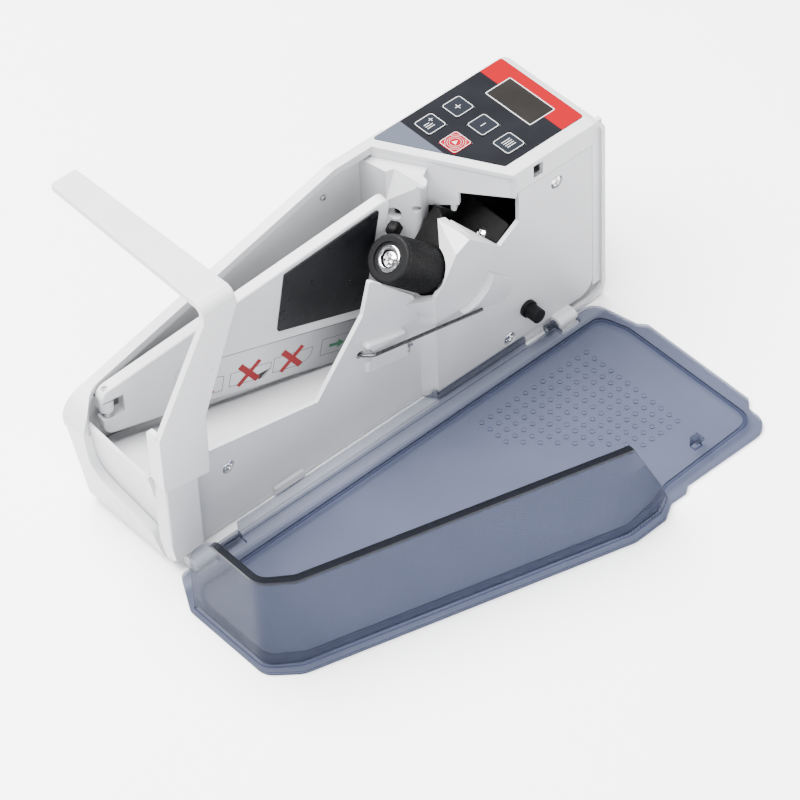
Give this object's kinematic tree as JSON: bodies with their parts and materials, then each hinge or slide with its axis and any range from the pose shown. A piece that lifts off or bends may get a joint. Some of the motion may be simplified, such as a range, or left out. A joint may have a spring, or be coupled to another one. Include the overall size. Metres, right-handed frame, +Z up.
{
  "type": "banknote counting machine",
  "caption": "Portable banknote counter: white wedge-shaped body with an angled feed roller, swinging hopper plate, note arm, key deck and a hinged smoky clear cover.",
  "frame": {"origin": "middle of the body's footprint, on the surface that the machine stands on", "axes": "+X along the front towards the key deck's end, +Y to the back wall, +Z up; the open cover lies on the -Y side"},
  "size_m": [0.2867, 0.2386, 0.1605],
  "materials": {
    "shell_white": "fine satin moulded plastic",
    "chassis_white": "satin moulded plastic",
    "arm_white": "satin moulded plastic",
    "smoke_clear": "clear smoke-tinted plastic",
    "rubber_black": "matt ribbed rubber",
    "plastic_black": "matt black plastic",
    "chrome": "bright plating",
    "steel": "plain steel",
    "black_steel": "black coated sheet",
    "pad_dark": "smooth dark pad",
    "label_grey": null,
    "overlay_dark": "printed film, charcoal with a red band",
    "window_dark": "dark tinted window",
    "key_dark": "printed key face, white outline",
    "key_red": "printed key face, red",
    "brass": "brass",
    "board_green": "circuit board",
    "module_grey": "display module",
    "gear_white": "acetal",
    "bronze": "sintered bronze"
  },
  "bodies": {
    "machine": {"rear_shell": "shell_white", "front_chassis": "chassis_white", "rubber_feet": "rubber_black", "panel_screws": "chrome", "back_screws": "steel", "drive_motor": "steel", "drive_bracket": "black_steel", "bracket_screw": "chrome", "bearing_bushes": "bronze", "retard_pad": "rubber_black", "note_sensor": "plastic_black", "plate_spring": "steel", "cover_hinge_pins": "steel", "deck_overlay": "overlay_dark", "display_window": "window_dark", "display_module": "module_grey", "control_board": "board_green", "key_switches": "plastic_black", "wire_blade": "steel", "wire_collar": "brass", "battery_bay": "plastic_black", "battery_contacts": "steel", "power_jack": "plastic_black", "switch_housing": "plastic_black"},
    "cover": {"clear_cover": "smoke_clear"},
    "arm": {"note_arm": "arm_white"},
    "roller": {"roller_sleeve": "rubber_black", "roller_hub": "plastic_black", "roller_washer": "chrome", "roller_screw": "chrome", "roller_shaft": "steel", "roller_gear": "gear_white"},
    "motor_rotor": {"motor_pinion": "brass", "motor_shaft": "steel"},
    "plate": {"hopper_plate": "shell_white", "plate_pivot_pin": "steel", "note_pad": "pad_dark", "plate_label": "label_grey"},
    "knob": {"adjusting_knob": "plastic_black", "knob_spindle": "steel"},
    "wire": {"wire_guide": "chrome"},
    "door": {"battery_door": "shell_white"},
    "rocker": {"power_rocker": "plastic_black"},
    "plus": {"key_plus": "key_dark"},
    "minus": {"key_minus": "key_dark"},
    "batch": {"key_batch": "key_dark"},
    "add": {"key_add": "key_dark"},
    "start": {"key_start": "key_red"}
  },
  "joints": [
    {"name": "cover_hinge", "type": "hinge", "parent": "machine", "child": "cover", "pos_m": [0, -0.0362, 0.0046], "axis": [-1, 0, 0], "range_deg": [0, 47]},
    {"name": "arm_slide", "type": "slide", "parent": "machine", "child": "arm", "axis": [0, 0, 1], "range_m": [-0.04, 0]},
    {"name": "roller_spin", "type": "hinge", "parent": "machine", "child": "roller", "pos_m": [0.0169, -0.0184, 0.0968], "axis": [0.7181, 0, -0.6959], "continuous": true},
    {"name": "motor_spin", "type": "hinge", "parent": "machine", "child": "motor_rotor", "pos_m": [0.05281, -0.0058, 0.062], "axis": [0.7181, 0, -0.6959], "continuous": true},
    {"name": "plate_swing", "type": "hinge", "parent": "machine", "child": "plate", "pos_m": [-0.1223, 0.0234, 0.062], "axis": [0, 0, 1], "range_deg": [0, 6], "stiffness_Nm_per_rad": 0.06, "springref_deg": -8.59},
    {"name": "knob_turn", "type": "hinge", "parent": "machine", "child": "knob", "pos_m": [0.0913, -0.0326, 0.0241], "axis": [0, -1, 0], "range_deg": [-150, 150]},
    {"name": "wire_swing", "type": "hinge", "parent": "machine", "child": "wire", "pos_m": [-0.0085, -0.0251, 0.0551], "axis": [0, 1, 0], "range_deg": [0, 12], "stiffness_Nm_per_rad": 0.02, "springref_deg": -5.73},
    {"name": "door_slide", "type": "slide", "parent": "machine", "child": "door", "axis": [1, 0, 0], "range_m": [0, 0.068]},
    {"name": "power_rock", "type": "hinge", "parent": "machine", "child": "rocker", "pos_m": [0.141, 0.006, 0.095], "axis": [0, 0, 1], "range_deg": [0, 14]},
    {"name": "plus_press", "type": "slide", "parent": "machine", "child": "plus", "axis": [0, 0, -1], "range_m": [0, 0.0005], "stiffness_N_per_m": 300},
    {"name": "minus_press", "type": "slide", "parent": "machine", "child": "minus", "axis": [0, 0, -1], "range_m": [0, 0.0005], "stiffness_N_per_m": 300},
    {"name": "batch_press", "type": "slide", "parent": "machine", "child": "batch", "axis": [0, 0, -1], "range_m": [0, 0.0005], "stiffness_N_per_m": 300},
    {"name": "add_press", "type": "slide", "parent": "machine", "child": "add", "axis": [0, 0, -1], "range_m": [0, 0.0005], "stiffness_N_per_m": 300},
    {"name": "start_press", "type": "slide", "parent": "machine", "child": "start", "axis": [0, 0, -1], "range_m": [0, 0.0005], "stiffness_N_per_m": 300}
  ],
  "couplings": [
    {"joint": "motor_spin", "follows": "roller_spin", "ratio": -4}
  ]
}
